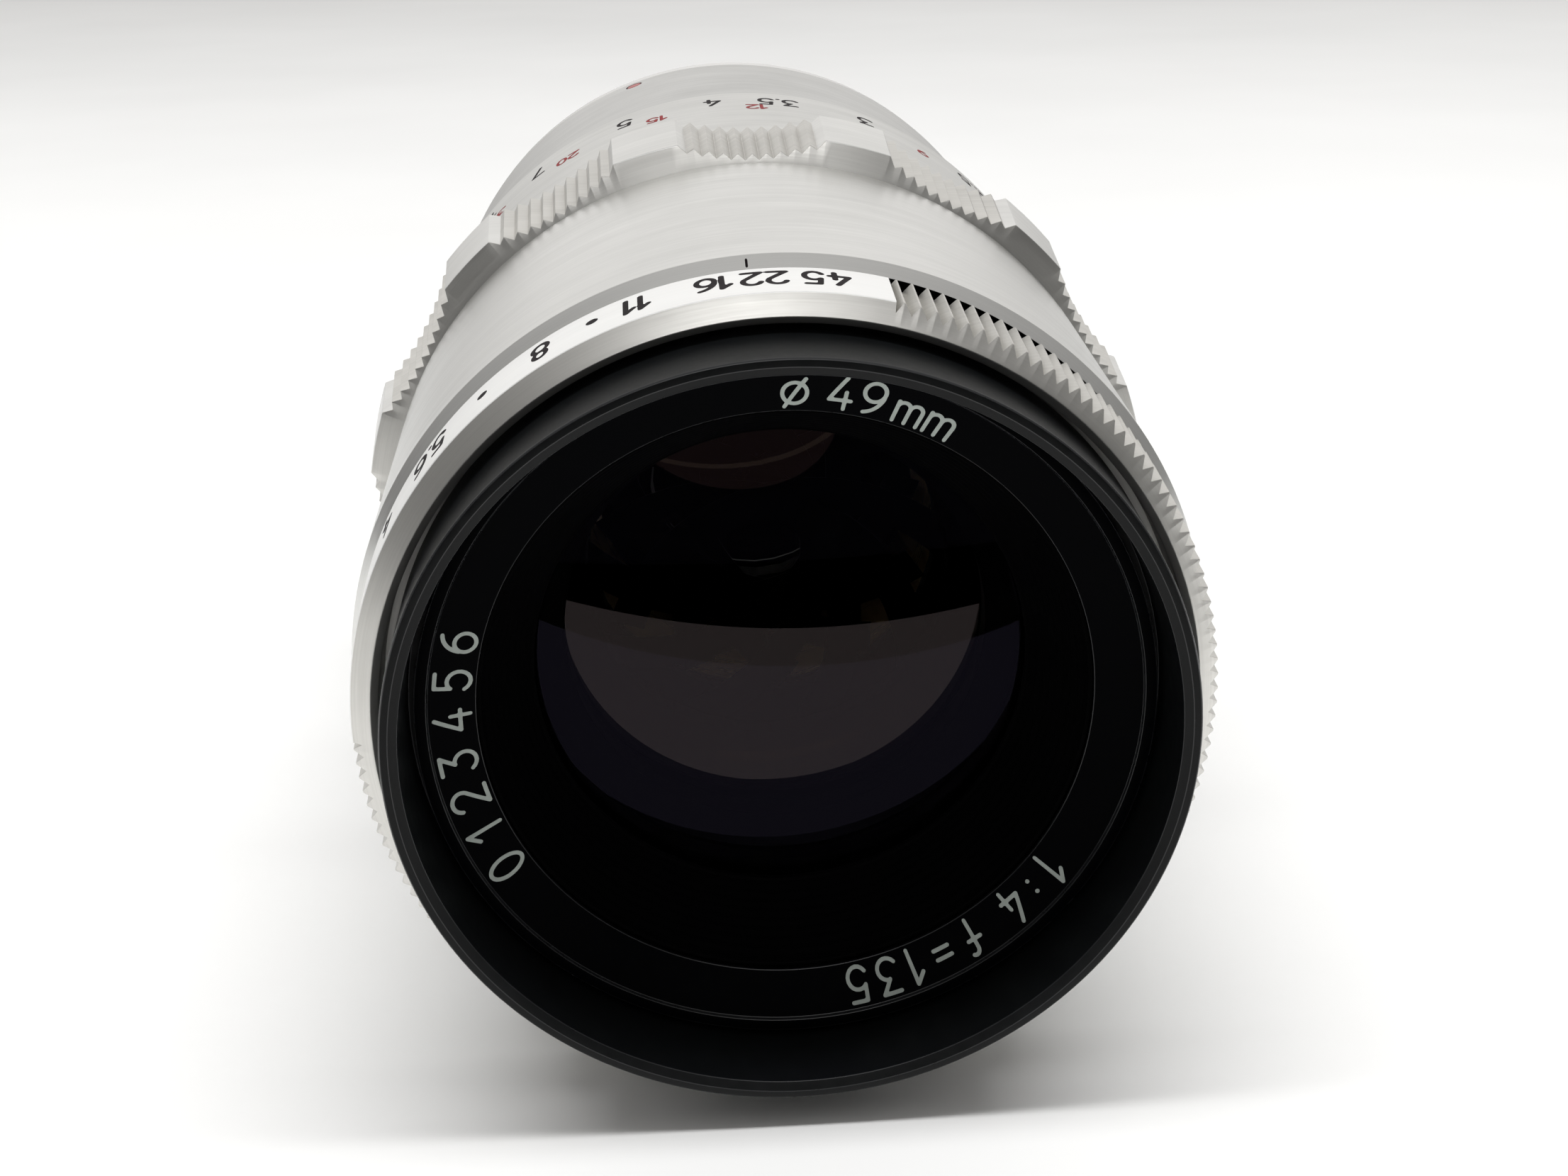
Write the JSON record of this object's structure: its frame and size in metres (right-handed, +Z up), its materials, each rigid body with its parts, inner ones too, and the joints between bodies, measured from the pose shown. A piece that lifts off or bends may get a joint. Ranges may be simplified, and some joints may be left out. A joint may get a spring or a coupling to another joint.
{
  "type": "prime camera lens",
  "caption": "Vintage long-focus prime lens: knurled aperture ring, fluted focus ring with distance scale, extending lens head, iris and bayonet mount.",
  "frame": {"origin": "on the surface the lens lies on, below the middle of its box", "axes": "+Y along the optical axis from the front to the mount, +Z up, lens lying on its side, X across"},
  "size_m": [0.0606, 0.096, 0.0606],
  "materials": {
    "satin_aluminium": "satin turned aluminium",
    "number_band": "bright satin aluminium with black filled digits",
    "scale_aluminium": "satin aluminium with black and red filled digits",
    "knurled_aluminium": "knurled turned aluminium",
    "black_anodised": "satin black anodised",
    "name_ring_black": "satin black with engraved pale digits",
    "flat_black": "matt black",
    "coated_glass": "coated optical glass",
    "brass": "turned brass",
    "steel": "steel",
    "mount_chrome": "satin chrome plated brass",
    "blued_steel": "blackened spring steel",
    "red_enamel": "glossy red enamel"
  },
  "bodies": {
    "rear_body": {"rear_barrel": "satin_aluminium", "mount_index_dot": "red_enamel", "helicoid_nut": "brass", "helicoid_set_screw_1": "steel", "helicoid_set_screw_2": "steel", "helicoid_set_screw_3": "steel", "mount_ring": "mount_chrome", "mount_screw_1": "steel", "mount_screw_2": "steel", "mount_screw_3": "steel", "mount_screw_4": "steel", "rear_baffle": "flat_black"},
    "focus_group": {"focus_ring": "knurled_aluminium", "distance_scale_sleeve": "scale_aluminium", "drive_key_1": "brass", "drive_key_2": "brass", "focus_stop_screw": "steel", "focus_guide_screw_1": "steel", "focus_guide_screw_2": "steel", "focus_guide_screw_3": "steel"},
    "lens_head": {"front_barrel": "satin_aluminium", "guide_tube": "satin_aluminium", "lens_tube": "flat_black", "helicoid_tube": "brass", "filter_ring": "black_anodised", "name_ring": "name_ring_black", "front_retaining_ring": "flat_black", "front_lens": "coated_glass", "spacer_ring": "flat_black", "doublet_cell": "flat_black", "doublet_front_lens": "coated_glass", "doublet_rear_lens": "coated_glass", "doublet_retaining_ring": "flat_black", "iris_base_plate": "flat_black", "rear_cell": "flat_black", "rear_lens": "coated_glass", "rear_retaining_ring": "flat_black", "detent_ball": "steel", "detent_spring": "steel"},
    "aperture_group": {"aperture_ring": "number_band", "aperture_drive_tube": "brass", "aperture_ring_screw_1": "steel", "aperture_ring_screw_2": "steel", "iris_drive_ring": "flat_black", "iris_drive_screw_1": "steel", "iris_drive_screw_2": "steel"},
    "iris_blade_01": {"iris_blade_01": "blued_steel"},
    "iris_blade_02": {"iris_blade_02": "blued_steel"},
    "iris_blade_03": {"iris_blade_03": "blued_steel"},
    "iris_blade_04": {"iris_blade_04": "blued_steel"},
    "iris_blade_05": {"iris_blade_05": "blued_steel"},
    "iris_blade_06": {"iris_blade_06": "blued_steel"},
    "iris_blade_07": {"iris_blade_07": "blued_steel"},
    "iris_blade_08": {"iris_blade_08": "blued_steel"},
    "iris_blade_09": {"iris_blade_09": "blued_steel"},
    "iris_blade_10": {"iris_blade_10": "blued_steel"}
  },
  "joints": [
    {"name": "focus_turn", "type": "hinge", "parent": "rear_body", "child": "focus_group", "pos_m": [0, 0, 0.03031], "axis": [0, -1, 0], "range_deg": [0, 288]},
    {"name": "head_travel", "type": "slide", "parent": "focus_group", "child": "lens_head", "axis": [0, -1, 0], "range_m": [0, 0.02]},
    {"name": "aperture_turn", "type": "hinge", "parent": "lens_head", "child": "aperture_group", "pos_m": [0, 0, 0.03031], "axis": [0, 1, 0], "range_deg": [-9.7, 59]},
    {"name": "iris_blade_01_swing", "type": "hinge", "parent": "lens_head", "child": "iris_blade_01", "pos_m": [0.0182, 0, 0.03031], "axis": [0, 1, 0], "range_deg": [-5.95, 36.17]},
    {"name": "iris_blade_02_swing", "type": "hinge", "parent": "lens_head", "child": "iris_blade_02", "pos_m": [0.01472, 0, 0.01962], "axis": [0, 1, 0], "range_deg": [-5.95, 36.17]},
    {"name": "iris_blade_03_swing", "type": "hinge", "parent": "lens_head", "child": "iris_blade_03", "pos_m": [0.00562, 0, 0.013], "axis": [0, 1, 0], "range_deg": [-5.95, 36.17]},
    {"name": "iris_blade_04_swing", "type": "hinge", "parent": "lens_head", "child": "iris_blade_04", "pos_m": [-0.00562, 0, 0.013], "axis": [0, 1, 0], "range_deg": [-5.95, 36.17]},
    {"name": "iris_blade_05_swing", "type": "hinge", "parent": "lens_head", "child": "iris_blade_05", "pos_m": [-0.01472, 0, 0.01962], "axis": [0, 1, 0], "range_deg": [-5.95, 36.17]},
    {"name": "iris_blade_06_swing", "type": "hinge", "parent": "lens_head", "child": "iris_blade_06", "pos_m": [-0.0182, 0, 0.03031], "axis": [0, 1, 0], "range_deg": [-5.95, 36.17]},
    {"name": "iris_blade_07_swing", "type": "hinge", "parent": "lens_head", "child": "iris_blade_07", "pos_m": [-0.01472, 0, 0.04101], "axis": [0, 1, 0], "range_deg": [-5.95, 36.17]},
    {"name": "iris_blade_08_swing", "type": "hinge", "parent": "lens_head", "child": "iris_blade_08", "pos_m": [-0.00562, 0, 0.04762], "axis": [0, 1, 0], "range_deg": [-5.95, 36.17]},
    {"name": "iris_blade_09_swing", "type": "hinge", "parent": "lens_head", "child": "iris_blade_09", "pos_m": [0.00562, 0, 0.04762], "axis": [0, 1, 0], "range_deg": [-5.95, 36.17]},
    {"name": "iris_blade_10_swing", "type": "hinge", "parent": "lens_head", "child": "iris_blade_10", "pos_m": [0.01472, 0, 0.04101], "axis": [0, 1, 0], "range_deg": [-5.95, 36.17]}
  ],
  "couplings": [
    {"joint": "head_travel", "follows": "focus_turn", "m_per_rad": 0.0039788},
    {"joint": "iris_blade_01_swing", "follows": "aperture_turn", "ratio": 0.613},
    {"joint": "iris_blade_02_swing", "follows": "aperture_turn", "ratio": 0.613},
    {"joint": "iris_blade_03_swing", "follows": "aperture_turn", "ratio": 0.613},
    {"joint": "iris_blade_04_swing", "follows": "aperture_turn", "ratio": 0.613},
    {"joint": "iris_blade_05_swing", "follows": "aperture_turn", "ratio": 0.613},
    {"joint": "iris_blade_06_swing", "follows": "aperture_turn", "ratio": 0.613},
    {"joint": "iris_blade_07_swing", "follows": "aperture_turn", "ratio": 0.613},
    {"joint": "iris_blade_08_swing", "follows": "aperture_turn", "ratio": 0.613},
    {"joint": "iris_blade_09_swing", "follows": "aperture_turn", "ratio": 0.613},
    {"joint": "iris_blade_10_swing", "follows": "aperture_turn", "ratio": 0.613}
  ]
}
